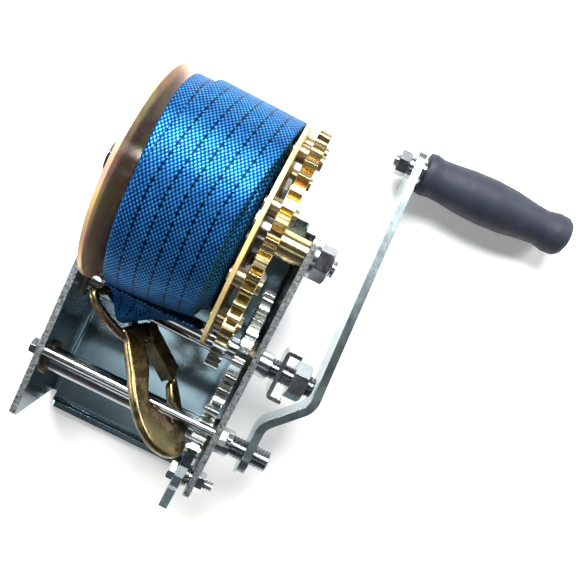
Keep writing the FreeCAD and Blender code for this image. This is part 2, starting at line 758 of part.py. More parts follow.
def across_end(edge, reach):
    """True for the four short edges at the corners of the arm's ends."""
    middle = edge.CenterOfMass
    at_side = abs(abs(middle.z) - S["arm_width"].value / 2) < 0.01
    return at_side and edge.Length < 6 and (middle.y < 0 or middle.y > reach.value - 1)


def joggle_edge(edge, side):
    """True for the edges on the inside (1) or the outside (-1) of the joggle's two bends."""
    half = S["arm_gauge"].value / 2
    middle = edge.CenterOfMass
    near_low = abs(middle.x - S["arm_low"].value - side * half) < 0.01
    near_high = abs(middle.x - S["arm_high"].value + side * half) < 0.01
    inside = S["joggle_start"].value - 3 < middle.y < S["joggle_end"].value + 3
    return runs(edge, "Z") and inside and (near_low or near_high)


def make_grip():
    """The spindle bolt on the arm, its spring washer and nut, and the grip that turns on it."""
    thread_radius = S["grip_thread"]
    nut_face = -S["arm_gauge"] - 1.8
    thread_start = nut_face - 6.7
    shank = S["spindle_radius"]
    count = 5
    tip = nut_face - S["grip_pitch"] * count - 2.6
    corners = [(tip, 0)]
    for index in range(count + 2):
        left = tip + S["grip_pitch"] * index
        corners.append((left, thread_radius - 0.7))
        corners.append((left + S["grip_pitch"] / 2, thread_radius))
    corners += [(-S["arm_gauge"], thread_radius), (0, thread_radius), (0, S["spindle_collar"]),
                (S["grip_start"] - 0.3, S["spindle_collar"]), (S["grip_start"] - 0.3, shank),
                (S["grip_start"] + 72, shank), (S["grip_start"] + 72, shank + 1.8),
                (S["grip_start"] + 76, shank + 1.8), (S["grip_start"] + 76, 0)]
    spindle = turned("spindle", corners, None)
    spindle.Placement = grip_place()
    node(spindle, "grip_spindle")
    spring = washer("grip_spring_washer", 6.6, thread_radius + 0.1, -S["arm_gauge"] - 1.8, 1.8, ORIGIN)
    spring.Placement = grip_place()
    grip_nut = nut("grip_nut", 13, 6.5, thread_radius + 0.05, nut_face - 6.5, ORIGIN, turn=0)
    grip_nut.Placement = grip_place()
    make_handle()


def make_handle():
    """The moulded grip: a waisted, bulging sleeve with a closed round end."""
    length = S["grip_length"]
    start = S["grip_start"]
    waist = [(0, 0.86), (0.035, 0.90), (0.09, 0.83), (0.16, 0.86), (0.30, 0.96), (0.45, 1.0),
             (0.60, 0.94), (0.74, 0.81), (0.82, 0.76), (0.86, 0.80), (0.90, 0.86), (0.96, 0.84),
             (0.985, 0.74), (1.0, 0.55)]
    corners = [(start + length * along, S["grip_radius"] * share) for along, share in waist]
    shank = S["spindle_radius"]
    clear = S["running_gap"]
    corners += [(start + length, 0), (start + 77, 0), (start + 77, shank + 2.2),
                (start + 71, shank + 2.2), (start + 71, shank + clear), (start, shank + clear)]
    handle = turned("handle", corners, None)
    handle.Placement = grip_place()
    node(handle, "grip")


def make_pawl():
    """The ratchet pawl on its bolt, with a bush, a nut and the spring that flips it."""
    body = doc.addObject("PartDesign::Body", "pawl_plate_body")
    side = sketch_on(body, "pawl_outline", "YZ_Plane")
    outline(side, [(-26, -9.5), (-25, -5), (-9, 4), (-5, 9), (3, 13), (13, 22), (24, 23.5), (26.5, 21.5),
                   (25, 17.6), (23, 17.6), (21.2, 20.4), (14, 17.4), (8.5, 8), (8, -2), (3, -8),
                   (-6, -9), (-16, -11.5)])
    pad = padded(body, side, "pawl_plate", S["pawl_gauge"])
    soften(body, "pawl_corners", as_size(1.2), lambda edge: runs(edge, "X")
           and abs(edge.CenterOfMass.y - 24) > 3)
    bore = sketch_on(body, "pawl_bore_outline", "YZ_Plane")
    radius = S["pawl_bolt_radius"]
    ring(bore, 0, 0, S["pawl_bush_radius"] + S["running_gap"])
    pocketed(body, bore, "pawl_bore")
    place(body, S["pawl_left"], PAWL, Rotation())
    node(body, "pawl")
    right = S["pawl_left"] + S["pawl_gauge"]
    thread_start = outer_half
    corners = [(S["pawl_left"] - 0.5, 0), (S["pawl_left"] - 0.5, radius), (thread_start, radius)]
    corners += thread(thread_start, 10.5, radius)
    corners.append((thread_start + S["thread_pitch"] * 6, 0))
    shank = turned("pawl_shank", corners, PAWL)
    head = hexagon("pawl_bolt_head", 10, 4, S["pawl_left"] - 4.2, PAWL, turn=10, face=-1)
    node(joined("pawl_bolt_whole", [shank, head]), "pawl_bolt")
    washer("pawl_bush", S["pawl_bush_radius"], radius + 0.05, S["pawl_left"] - 0.1,
           inner_half - S["pawl_left"] + 0.1, PAWL)
    nut("pawl_nut", 10, 5, radius + 0.05, outer_half, PAWL, turn=15)
    make_pawl_spring(right)


def make_pawl_spring(right):
    """The torsion spring between the pawl and the side plate."""
    wire = 0.6
    coil = doc.addObject("Part::Helix", "spring_path")
    bind(coil, Pitch=1.3, Height=1.95, Radius=S["pawl_bush_radius"] + 1)
    section = doc.addObject("Part::Circle", "spring_section")
    bind(section, Radius=wire)
    section.Placement = FreeCAD.Placement(Vector((S["pawl_bush_radius"] + 1).value, 0, 0),
                                          Rotation(Vector(1, 0, 0), 90))
    spring = doc.addObject("Part::Sweep", "spring_coil")
    spring.Sections = [section]
    spring.Spine = (coil, ["Edge1"])
    spring.Solid = True
    spring.Frenet = True
    place(spring, right + 0.75, PAWL)
    node(spring, "pawl_spring")


def make_tie_rod():
    """The bolt that ties the side plates together near the front, and its nut."""
    radius = S["tie_radius"]
    thread_start = outer_half
    corners = [(-outer_half - 1, 0), (-outer_half - 1, radius), (thread_start, radius)]
    corners += thread(thread_start, 7, radius)
    corners.append((thread_start + S["thread_pitch"] * 4, 0))
    shank = turned("tie_shank", corners, TIE)
    head = hexagon("tie_head", 8, 3.5, -outer_half - 3.5, TIE, turn=15, face=-1)
    node(joined("tie_whole", [shank, head]), "tie_rod")
    nut("tie_rod_nut", 8, 4, radius + 0.05, outer_half, TIE, turn=5)


def hook_place():
    """The hook's own frame: on the middle of its eye's bar, Y along the hook, flat in its plane."""
    base = Vector(S["hook_across"].value, S["hook_row"].value, S["hook_height"].value)
    turned_out = Rotation(Vector(0, 0, 1), S["hook_turn"].value)
    laid_over = Rotation(Vector(1, 0, 0), 180 - S["hook_slope"].value)
    rolled = Rotation(Vector(0, 1, 0), -S["hook_roll"].value)
    return FreeCAD.Placement(base, turned_out.multiply(laid_over).multiply(rolled))


def make_hook():
    """The snap hook: a flat blade with a wire eye, its latch, and the latch's pin and spring."""
    body = doc.addObject("PartDesign::Body", "hook_solid")
    blade = sketch_on(body, "hook_outline", "XY_Plane")
    outline(blade, [(-4, 19), (-4.6, 26), (-7.2, 32.7), (-10.5, 42.2), (-13.6, 50), (-15.6, 57),
                    (-16.5, 63.2), (-16.9, 68.8), (-15.6, 77.2), (-12.2, 84.2), (-6.9, 89.7), (-0.9, 92),
                    (3.4, 90.6), (6.2, 86.9), (9.4, 81), (11.4, 75.1), (13.3, 68.5), (15.2, 61.6),
                    (16.6, 56), (15.8, 53), (13.8, 53), (13.5, 54.8), (11, 55.4), (9, 59),
                    (7.4, 63.5), (7.2, 69.4), (6.6, 73), (4.2, 74.6), (1.6, 72.6), (-0.6, 68.6),
                    (-2.6, 64.6), (-4.4, 60.6), (-4.6, 57), (-2.6, 52), (0.8, 46.5), (3.6, 41),
                    (4.6, 35.5), (5.8, 31), (7.6, 28.4), (13, 26.8), (14, 23.6),
                    (10.5, 21.6), (4.4, 20)])
    padded(body, blade, "hook_blade", S["hook_gauge"], both=True)
    lug = sketch_on(body, "latch_lug_outline", "XY_Plane")
    ring(lug, S["latch_pivot_across"], S["latch_pivot_up"], 4.3)
    padded(body, lug, "latch_lug", S["hook_gauge"], both=True)
    path = sketch_on(body, "eye_path", "XY_Plane")
    outline(path, [(0, 0), (8.6, 0), (8.2, 9), (4.2, 21), (-5, 21.5), (-10.6, 9), (-11.4, -0.6),
                   (-6, 0)])
    section = sketch_on(body, "eye_section", "YZ_Plane")
    ring(section, 0, 0, S["hook_wire"])
    eye = body.newObject("PartDesign::AdditivePipe", "hook_eye")
    eye.Profile = section
    eye.Spine = (path, [])
    eye.Transition = 2
    doc.recompute()
    bore = sketch_on(body, "latch_pin_outline", "XY_Plane")
    ring(bore, S["latch_pivot_across"], S["latch_pivot_up"], S["latch_pin_radius"] + 0.03)
    pocketed(body, bore, "latch_pin_hole")
    body.Placement = hook_place()
    node(body, "hook_body")
    make_latch()


def latch_place():
    """The latch's own frame: on its pin, X towards the hook's nose, Y into the hook."""
    base = Vector(S["latch_pivot_across"].value, S["latch_pivot_up"].value, 0)
    turn = Rotation(Vector(0, 0, 1), S["latch_turn"].value)
    return hook_place().multiply(FreeCAD.Placement(base, turn))


def make_latch():
    """The latch, a folded channel that straddles the hook's nose, with its pin and spring."""
    wall = S["latch_wall"]
    half = S["hook_gauge"] / 2 + 0.3
    body = doc.addObject("PartDesign::Body", "latch_solid")
    side = sketch_on(body, "latch_outline", "XY_Plane")
    outline(side, [(-3.6, -3.4), (24, -3.8), (28, -1.5), (28, 4.2), (5.6, 4.2), (5.6, 2.8),
                   (-3.6, 2.8)])
    padded(body, side, "latch_block", (half + wall) * 2, both=True)
    soften(body, "latch_nose", as_size(2.5), lambda edge: runs(edge, "Z")
           and (edge.CenterOfMass.x < 0))
    inside = sketch_on(body, "latch_inside", "YZ_Plane")
    outline(inside, [(-10, -half), (S["latch_web"], -half), (S["latch_web"], half), (-10, half)])
    pocketed(body, inside, "latch_channel")
    bore = sketch_on(body, "latch_bore_outline", "XY_Plane")
    ring(bore, 0, 0, S["latch_pin_radius"] + S["running_gap"])
    pocketed(body, bore, "latch_bore")
    body.Placement = latch_place()
    node(body, "hook_latch")
    reach = half + wall + 0.15
    pin = doc.addObject("Part::Cylinder", "latch_rivet")
    bind(pin, Radius=S["latch_pin_radius"], Height=reach * 2)
    pin.Placement = FreeCAD.Placement(Vector(0, 0, -reach.value), Rotation())
    ends = []
    for foot in (reach.value, -reach.value - 0.8):
        head = doc.addObject("Part::Cylinder", "latch_rivet_head")
        bind(head, Radius=S["latch_pin_radius"] + 1, Height=0.8)
        head.Placement = FreeCAD.Placement(Vector(0, 0, foot), Rotation())
        ends.append(head)
    rivet = joined("latch_rivet_whole", [pin] + ends)
    rivet.Placement = latch_place()
    node(rivet, "latch_pin")
    coil = doc.addObject("Part::Box", "latch_spring_strip")
    bind(coil, Length=18, Width=0.8, Height=1.6)
    coil.Placement = latch_place().multiply(FreeCAD.Placement(Vector(6, 1.6, -0.8), Rotation()))
    node(coil, "latch_spring")


def make_strap_tail():
    """The strap's outer end: a stretch down from the roll and a loop round the hook's eye."""
    width = S["loop_width"]
    loop = doc.addObject("Part::Cylinder", "loop_outside")
    bind(loop, Radius=S["loop_outer"], Height=width)
    hole = doc.addObject("Part::Cylinder", "loop_inside")
    bind(hole, Radius=S["loop_inner"], Height=width + 6)
    along = Rotation(Vector(0, 1, 0), 90)
    half = width.value / 2
    loop.Placement = hook_place().multiply(FreeCAD.Placement(Vector(-half, 0, 0), along))
    hole.Placement = hook_place().multiply(FreeCAD.Placement(Vector(-half - 3, 0, 0), along))
    strip = doc.addObject("Part::Box", "tail_strip")
    bind(strip, Length=S["tail_width"], Width=S["tail_gauge"], Height=8)
    foot = Vector(S["tail_left"].value, S["tail_row"].value, S["hook_height"].value)
    strip.Placement = FreeCAD.Placement(foot, Rotation())
    tail = minus("tail_cut", joined("tail_whole", [loop, strip]), [hole])
    node(tail, "strap_tail")


def check_document():
    """Stop if any object failed or any sub-part is empty or broken."""
    doc.recompute()
    for item in doc.Objects:
        if "Invalid" in item.State or "Error" in item.State:
            raise ValueError(f"{item.Name} failed: {item.State}")
    for item in nodes:
        if item.Shape.isNull() or not item.Shape.isValid():
            raise ValueError(f"{item.Label} has no valid shape")


def write_parts():
    """Write each sub-part to its own file."""
    os.makedirs("parts", exist_ok=True)
    for item in nodes:
        item.Shape.exportStep(f"parts/{item.Label}.step")
        print(f"{item.Label:22s} solids {len(item.Shape.Solids)} volume {item.Shape.Volume:10.1f}")


make_frame()
make_axle()
make_drum()
make_gear_shafts()
make_saddle()
make_arm()
make_grip()
make_pawl()
make_tie_rod()
make_hook()
make_strap_tail()
check_document()
write_parts()
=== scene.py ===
import math

import bpy
from mathutils import Euler, Matrix, Vector


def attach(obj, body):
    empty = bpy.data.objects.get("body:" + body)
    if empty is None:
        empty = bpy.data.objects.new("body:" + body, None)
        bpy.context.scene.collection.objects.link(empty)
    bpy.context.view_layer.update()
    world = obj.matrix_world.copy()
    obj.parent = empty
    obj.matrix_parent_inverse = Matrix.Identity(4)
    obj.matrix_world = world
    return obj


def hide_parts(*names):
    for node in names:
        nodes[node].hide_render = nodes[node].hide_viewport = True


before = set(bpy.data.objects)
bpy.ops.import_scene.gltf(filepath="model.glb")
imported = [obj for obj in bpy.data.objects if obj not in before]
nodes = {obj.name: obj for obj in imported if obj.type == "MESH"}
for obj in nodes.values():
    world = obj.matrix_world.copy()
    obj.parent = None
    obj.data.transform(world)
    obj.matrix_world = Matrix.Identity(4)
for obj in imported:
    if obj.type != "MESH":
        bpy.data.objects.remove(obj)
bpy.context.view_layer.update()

MM = 0.001
collection = bpy.context.scene.collection

# The webbing, in millimetres: its width, the yarns across it, the length of a pick and of a fibre's twist,
# and its tracer lines with half their width and the length of a dash with its gap.
STRAP_WIDTH = 45.0
YARNS = 24
PICK = 2.6
FIBRE = 0.28
TRACERS = 5
TRACER_HALF = 0.45
DASH = 4.3


# ---------------------------------------------------------------- shader helpers

class Shader:
    """A material's node tree, with short calls for the nodes that it needs."""

    def __init__(self, name, rough=0.4, metallic=0.0):
        self.material = bpy.data.materials.new(name)
        self.material.use_nodes = True
        self.tree = self.material.node_tree
        self.bsdf = self.tree.nodes["Principled BSDF"]
        self.bsdf.inputs["Roughness"].default_value = rough
        self.bsdf.inputs["Metallic"].default_value = metallic
        self.coords = self.tree.nodes.new("ShaderNodeTexCoord")

    def node(self, kind, **settings):
        made = self.tree.nodes.new(kind)
        for key, value in settings.items():
            setattr(made, key, value)
        return made

    def link(self, source, target):
        self.tree.links.new(source, target)

    def feed(self, socket, value):
        if isinstance(value, (int, float)):
            socket.default_value = value
        else:
            self.link(value, socket)

    def math(self, operation, first, second=0.0, third=0.0, clamp=False):
        made = self.node("ShaderNodeMath", operation=operation, use_clamp=clamp)
        for socket, value in zip(made.inputs, (first, second, third)):
            self.feed(socket, value)
        return made.outputs[0]

    def axis(self, which, source="Object"):
        split = self.node("ShaderNodeSeparateXYZ")
        self.link(self.coords.outputs[source], split.inputs[0])
        return split.outputs[which]

    def noise(self, scale, detail=3.0, rough=0.5, distortion=0.0, stretch=(1, 1, 1)):
        mapping = self.node("ShaderNodeMapping")
        mapping.inputs["Scale"].default_value = stretch
        self.link(self.coords.outputs["Object"], mapping.inputs["Vector"])
        made = self.node("ShaderNodeTexNoise")
        self.link(mapping.outputs[0], made.inputs["Vector"])
        made.inputs["Scale"].default_value = scale
        made.inputs["Detail"].default_value = detail
        made.inputs["Roughness"].default_value = rough
        made.inputs["Distortion"].default_value = distortion
        return made.outputs["Fac"]

    def spread(self, value, low, high, to_low=0.0, to_high=1.0):
        made = self.node("ShaderNodeMapRange")
        self.feed(made.inputs["Value"], value)
        for name, number in (("From Min", low), ("From Max", high), ("To Min", to_low), ("To Max", to_high)):
            made.inputs[name].default_value = number
        return made.outputs["Result"]

    def ramp(self, value, stops):
        made = self.node("ShaderNodeValToRGB")
        self.feed(made.inputs["Fac"], value)
        band = made.color_ramp
        while len(band.elements) < len(stops):
            band.elements.new(0.5)
        for element, (position, color) in zip(band.elements, stops):
            element.position = position
            element.color = (*color, 1)
        return made.outputs["Color"]

    def mix(self, share, first, second):
        made = self.node("ShaderNodeMix", data_type="RGBA")
        self.feed(made.inputs[0], share)
        for socket, value in ((made.inputs[6], first), (made.inputs[7], second)):
            if isinstance(value, tuple):
                socket.default_value = (*value, 1)
            else:
                self.link(value, socket)
        return made.outputs[2]

    def color(self, value):
        self.link(value, self.bsdf.inputs["Base Color"])

    def roughness(self, value):
        self.feed(self.bsdf.inputs["Roughness"], value)

    def relief(self, height, strength, distance, rounding=0.0):
        """Bump from a height, over edges that are softened by a rounding radius."""
        bump = self.node("ShaderNodeBump")
        bump.inputs["Strength"].default_value = strength
        bump.inputs["Distance"].default_value = distance
        self.feed(bump.inputs["Height"], height)
        if rounding:
            bevel = self.node("ShaderNodeBevel", samples=4)
            bevel.inputs["Radius"].default_value = rounding
            self.link(bevel.outputs[0], bump.inputs["Normal"])
        self.link(bump.outputs[0], self.bsdf.inputs["Normal"])


def plated(name, stops, cloud, rough, grain, rounding=0.0004, strength=0.12):
    """Zinc plated steel: clouds of tint, a fine crystalline grain and smeared roughness."""
    shader = Shader(name, metallic=1.0)
    clouds = shader.noise(cloud, 4, 0.55, 0.6)
    base = shader.ramp(clouds, stops)
    fine = shader.noise(grain, 2, 0.6)
    grime = shader.spread(fine, 0.3, 0.7, 0.86, 1.06)
    dull = shader.node("ShaderNodeVectorMath", operation="SCALE")
    shader.link(base, dull.inputs[0])
    shader.link(grime, dull.inputs["Scale"])
    shader.color(dull.outputs[0])
    smear = shader.noise(cloud * 3, 3, 0.6, 0.3)
    shader.roughness(shader.spread(smear, 0.3, 0.7, *rough))
    shader.relief(fine, strength, 0.00004, rounding)
    return shader


def sheared(shader, face_color, rim_color, low, rounding):
    """Adds a sheet's lighter, speckled sheared rims: where a face turns from X, above a height."""
    across = shader.math("ABSOLUTE", shader.axis(0, "Normal"))
    rim = shader.spread(across, 0.75, 0.55)
    high = shader.spread(shader.axis(2), low, low + 0.0005)
    mask = shader.math("MULTIPLY", rim, high)
    speck = shader.noise(1100, 2, 0.7)
    stripes = shader.noise(520, 3, 0.7)
    mixed = shader.math("MULTIPLY", speck, stripes)
    rim_tint = shader.ramp(shader.spread(mixed, 0.13, 0.38), [(0, (0.10, 0.11, 0.12)), (0.45, rim_color),
                                                              (1, (0.92, 0.94, 0.95))])
    shader.color(shader.mix(mask, face_color, rim_tint))
    shader.roughness(shader.spread(mask, 0, 1, 0.2, 0.45))
    height = shader.math("MULTIPLY", mixed, mask)
    shader.relief(height, 0.5, 0.0004, rounding)


def frame_metal():
    shader = Shader("clear_zinc_sheet", metallic=1.0)
    clouds = shader.noise(26, 4, 0.5, 0.4)
    face = shader.ramp(clouds, [(0.25, (0.17, 0.24, 0.28)), (0.5, (0.24, 0.32, 0.36)),
                                (0.75, (0.32, 0.40, 0.44))])
    sheared(shader, face, (0.52, 0.56, 0.58), 0.012, 0.0005)
    return shader.material


def yellow_zinc(name, cloud=22, blush=(0.88, 0.46, 0.36)):
    stops = [(0.22, (0.62, 0.46, 0.14)), (0.36, (0.92, 0.74, 0.26)), (0.46, (0.94, 0.62, 0.30)),
             (0.54, blush), (0.62, (0.92, 0.76, 0.32)), (0.74, (0.58, 0.72, 0.44)),
             (0.86, (0.92, 0.78, 0.36))]
    shader = plated(name, stops, cloud, (0.3, 0.4), 1500)
    shader.bsdf.inputs["Metallic"].default_value = 0.4
    return shader.material


def gear_gold():
    stops = [(0.3, (0.42, 0.32, 0.15)), (0.5, (0.60, 0.50, 0.26)), (0.65, (0.50, 0.36, 0.21)),
             (0.8, (0.74, 0.66, 0.40))]
    return plated("gold_zinc_gear", stops, 60, (0.16, 0.26), 1700).material


def bright_zinc(name, tint, rough):
    dark = tuple(part * 0.84 for part in tint)
    return plated(name, [(0.3, dark), (0.7, tint)], 110, rough, 1600).material


def blue_zinc(name):
    return plated(name, [(0.25, (0.34, 0.44, 0.47)), (0.5, (0.42, 0.52, 0.55)), (0.75, (0.48, 0.56, 0.57))],
                  24, (0.2, 0.3), 1500, 0.0006).material


def olive_zinc():
    stops = [(0.2, (0.08, 0.072, 0.042)), (0.4, (0.18, 0.155, 0.08)), (0.52, (0.32, 0.25, 0.12)),
             (0.62, (0.30, 0.19, 0.15)), (0.75, (0.22, 0.20, 0.10)), (0.9, (0.38, 0.32, 0.16))]
    return plated("olive_zinc_hook", stops, 60, (0.2, 0.34), 1500, 0.0005).material


# A darker copy of the hook's olive zinc for the latch: painted shade on its face.
def dark_olive_zinc():
    stops = [(0.3, (0.045, 0.042, 0.030)), (0.55, (0.13, 0.115, 0.065)), (0.8, (0.24, 0.21, 0.11))]
    return plated("olive_zinc_latch", stops, 90, (0.22, 0.36), 1500, 0.0005).material


def bronze():
    return plated("sintered_bronze", [(0.3, (0.13, 0.105, 0.075)), (0.7, (0.22, 0.18, 0.12))], 300,
                  (0.4, 0.55), 2600, 0.0003, 0.3).material


def spring_steel():
    return plated("spring_steel", [(0.3, (0.30, 0.29, 0.27)), (0.7, (0.62, 0.60, 0.54))], 300,
                  (0.22, 0.34), 1800, 0).material


def moulded_plastic():
    shader = Shader("moulded_grip_plastic", rough=0.42)
    shade = shader.noise(70, 3, 0.5)
    shader.color(shader.ramp(shade, [(0.3, (0.012, 0.015, 0.028)), (0.7, (0.020, 0.025, 0.044))]))
    grain = shader.noise(1300, 2, 0.6)
    shader.roughness(shader.spread(shader.noise(180, 3, 0.6), 0.3, 0.7, 0.56, 0.7))
    shader.relief(grain, 0.25, 0.0002, 0)
    shader.bsdf.inputs["Specular IOR Level"].default_value = 0.4
    return shader.material


def webbing(name):
    """Woven strap with dashed tracer lines. U runs across it and V along it, both in metres."""
    shader = Shader(name, rough=0.46)
    split = shader.node("ShaderNodeSeparateXYZ")
    shader.link(shader.coords.outputs["UV"], split.inputs[0])
    across, along = split.outputs[0], split.outputs[1]
    width = STRAP_WIDTH * MM
    wave_x = shader.math("COSINE", shader.math("MULTIPLY", across, math.tau / (width / YARNS)))
    wave_y = shader.math("COSINE", shader.math("MULTIPLY", along, math.tau / (PICK * MM)))
    patchy = shader.noise(240, 3, 0.6)
    woven = shader.math("ADD", shader.math("MULTIPLY", wave_x, wave_y),
                        shader.spread(patchy, 0.3, 0.7, -0.2, 0.2))
    knot = shader.spread(woven, -0.55, 0.75)
    fibre = shader.math("SINE", shader.math("MULTIPLY", across, math.tau / (FIBRE * MM)))
    # The weave pattern is real, but this ramp also paints shade: the gaps between yarns go near black and the
    # yarn tops stay bright.
    base = shader.ramp(knot, [(0.0, (0.001, 0.007, 0.05)), (0.45, (0.004, 0.034, 0.19)),
                              (1.0, (0.040, 0.26, 0.54))])
    spacing = width / (TRACERS + 1)
    place = shader.math("DIVIDE", shader.math("SUBTRACT", across, spacing / 2), spacing)
    near = shader.math("ABSOLUTE", shader.math("SUBTRACT", shader.math("FRACT", place), 0.5))
    inside = shader.math("MULTIPLY", shader.math("GREATER_THAN", place, 0.0),
                         shader.math("LESS_THAN", place, float(TRACERS)))
    line = shader.math("MULTIPLY", shader.math("LESS_THAN", near, TRACER_HALF * MM / spacing), inside)
    dash = shader.math("LESS_THAN", shader.math("FRACT", shader.math("DIVIDE", along, DASH * MM)), 0.74)
    mark = shader.math("MULTIPLY", line, dash)
    shader.color(shader.mix(mark, base, (0.001, 0.002, 0.006)))
    shader.roughness(shader.spread(knot, 0, 1, 0.5, 0.3))
    height = shader.math("ADD", knot, shader.math("MULTIPLY", fibre, 0.10))
    shader.relief(height, 0.22, 0.0005)
    shader.bsdf.inputs["Metallic"].default_value = 0.55
    shader.bsdf.inputs["Specular Tint"].default_value = (0.08, 0.55, 0.80, 1)
    shader.bsdf.inputs["Sheen Weight"].default_value = 0.05
    shader.bsdf.inputs["Sheen Roughness"].default_value = 0.4
    shader.bsdf.inputs["Sheen Tint"].default_value = (0.2, 0.6, 1.0, 1)
    return shader.material


def floor_paper():
    shader = Shader("studio_floor", rough=0.6)
    shade = shader.noise(3, 2, 0.4)
    shader.color(shader.ramp(shade, [(0.3, (0.93, 0.93, 0.935)), (0.7, (0.95, 0.95, 0.95))]))
    shader.bsdf.inputs["Specular IOR Level"].default_value = 0.2
    shader.bsdf.inputs["Emission Color"].default_value = (1, 1, 1, 1)
    shader.bsdf.inputs["Emission Strength"].default_value = 0.22
    return shader.material


# ---------------------------------------------------------------- mesh helpers

def new_mesh(name, points, faces, material, smooth=True):
    mesh = bpy.data.meshes.new(name)
    mesh.from_pydata([tuple(point) for point in points], [], faces)
    mesh.validate()
    made = bpy.data.objects.new(name, mesh)
    collection.objects.link(made)
    mesh.materials.append(material)
    for polygon in mesh.polygons:
        polygon.use_smooth = smooth
    return made


def between(before, here, there, after, t):
    """The point at share t from one corner of a smooth line to the next, by Catmull-Rom."""
    slope = there - before
    bend = 2 * before - 5 * here + 4 * there - after
    twist = 3 * here - before - 3 * there + after
    return 0.5 * (2 * here + slope * t + bend * t ** 2 + twist * t ** 3)


def rounded_loop(corners, steps):
    """A closed smooth line through corners."""
    count = len(corners)
    line = []
    for index in range(count):
        around = [Vector(corners[(index + offset) % count]) for offset in (-1, 0, 1, 2)]
        for step in range(steps):
            line.append(between(*around, step / steps))
    return line


def open_line(corners, steps):
    """A smooth open line through corners."""
    padded = [2 * Vector(corners[0]) - Vector(corners[1])] + [Vector(corner) for corner in corners]
    padded.append(2 * Vector(corners[-1]) - Vector(corners[-2]))
    line = []
    for index in range(1, len(padded) - 2):
        for step in range(steps):
            line.append(between(*padded[index - 1:index + 3], step / steps))
    line.append(padded[-2])
    return line


def as_mesh(curve, name, material):
    """Turns a curve object into a mesh object, smooth shaded."""
    bpy.context.view_layer.update()
    graph = bpy.context.evaluated_depsgraph_get()
    mesh = bpy.data.meshes.new_from_object(curve.evaluated_get(graph))
    mesh.transform(curve.matrix_world)
    bpy.data.objects.remove(curve)
    made = bpy.data.objects.new(name, mesh)
    collection.objects.link(made)
    mesh.materials.clear()
    mesh.materials.append(material)
    for polygon in mesh.polygons:
        polygon.use_smooth = True
    return made


def wire(name, line, radius, material, closed=False, place=Matrix.Identity(4)):
    """A round wire along a line in millimetres."""
    data = bpy.data.curves.new(name, "CURVE")
    data.dimensions = "3D"
    data.bevel_depth = radius * MM
    data.bevel_resolution = 4
    data.use_fill_caps = True
    spline = data.splines.new("POLY")
    spline.points.add(len(line) - 1)
    for point, corner in zip(spline.points, line):
        point.co = (*(Vector(corner) * MM), 1)
    spline.use_cyclic_u = closed
    curve = bpy.data.objects.new(name + "_line", data)
    collection.objects.link(curve)
    curve.matrix_world = place
    return as_mesh(curve, name, material)


def plate(name, line, gauge, edge, material, place):
    """A flat forged shape with rounded edges, from an outline in millimetres."""
    data = bpy.data.curves.new(name, "CURVE")
    data.dimensions = "2D"
    data.fill_mode = "BOTH"
    data.extrude = (gauge / 2 - edge) * MM
    data.bevel_depth = edge * MM
    data.bevel_resolution = 5
    data.offset = -edge * MM
    spline = data.splines.new("POLY")
    spline.points.add(len(line) - 1)
    for point, corner in zip(spline.points, line):
        point.co = (corner[0] * MM, corner[1] * MM, 0, 1)
    spline.use_cyclic_u = True
    curve = bpy.data.objects.new(name + "_line", data)
    collection.objects.link(curve)
    curve.matrix_world = place
    return as_mesh(curve, name, material)


def smooth_by_angle(piece, angle):
    """Smooth shading, apart from edges that turn by more than an angle in degrees."""
    bpy.ops.object.select_all(action="DESELECT")
    piece.select_set(True)
    bpy.context.view_layer.objects.active = piece
    bpy.ops.object.shade_smooth_by_angle(angle=math.radians(angle))


# ---------------------------------------------------------------- materials of the CAD nodes

FRAME = frame_metal()
FLANGE = yellow_zinc("yellow_zinc_flange")
RIM = yellow_zinc("yellow_zinc_gear_side", 60, (0.86, 0.70, 0.30))
GOLD = gear_gold()
BRIGHT = bright_zinc("bright_zinc_bolt", (0.60, 0.62, 0.64), (0.14, 0.24))
# A darker copy of the bolts' bright zinc for the axle nut: painted shade for its dark faces.
NUT = bright_zinc("painted_shade_zinc_nut", (0.26, 0.27, 0.29), (0.14, 0.22))
WHITE = bright_zinc("bright_zinc_saddle", (0.90, 0.92, 0.93), (0.14, 0.24))
SHAFT = bright_zinc("turned_steel_shaft", (0.40, 0.42, 0.44), (0.14, 0.24))
WHEEL = bright_zinc("clear_zinc_gear", (0.58, 0.61, 0.60), (0.14, 0.26))
# A darker copy of the bright zinc for the rivets and spacers: painted shade for the dark gap between the
# drum's flange and gear.
DARK = bright_zinc("painted_shade_zinc_rivet", (0.34, 0.28, 0.17), (0.25, 0.4))
BLUE = blue_zinc("blue_zinc_arm")
PAWL = bright_zinc("blue_zinc_pawl", (0.30, 0.38, 0.41), (0.18, 0.3))
HOOK = olive_zinc()
LATCH = dark_olive_zinc()
BRONZE = bronze()
SPRING = spring_steel()
PLASTIC = moulded_plastic()
STRAP = webbing("blue_webbing")

LOOKS = {
    FRAME: ["frame"],
    FLANGE: ["left_flange"],
    RIM: ["right_flange"],
    DARK: ["gear_rivets", "gear_spacers"],
    SHAFT: ["middle_shaft", "drive_shaft", "drum_core"],
    GOLD: ["drum_gear", "axle_spacer"],
    BRIGHT: ["tie_rod", "tie_rod_nut", "axle_bolt", "axle_washer", "axle_thrust_washer", "pawl_bolt",
             "pawl_bush", "pawl_nut", "strap_anchor_bolt", "strap_anchor_nut", "middle_collar", "saddle_nut",
             "drive_collar", "grip_spindle", "grip_spring_washer", "grip_nut"],
    NUT: ["axle_nut"],
    WHITE: ["crank_saddle"],
    WHEEL: ["middle_pinion", "middle_wheel", "drive_pinion"],
    BLUE: ["crank_arm"],
    PAWL: ["pawl"],
    HOOK: ["latch_pin", "hook_body"],
    LATCH: ["hook_latch"],
    BRONZE: ["middle_bush_left", "middle_bush_right", "drive_bush_left", "drive_bush_right", "drum_bush_left",
             "drum_bush_right"],
    SPRING: ["pawl_spring", "latch_spring"],
    PLASTIC: ["grip"],
    STRAP: ["strap_roll", "strap_tail"],
}
for look, names in LOOKS.items():
    for name in names:
        slots = nodes[name].data.materials
        slots.clear()
        slots.append(look)


# ---------------------------------------------------------------- the strap

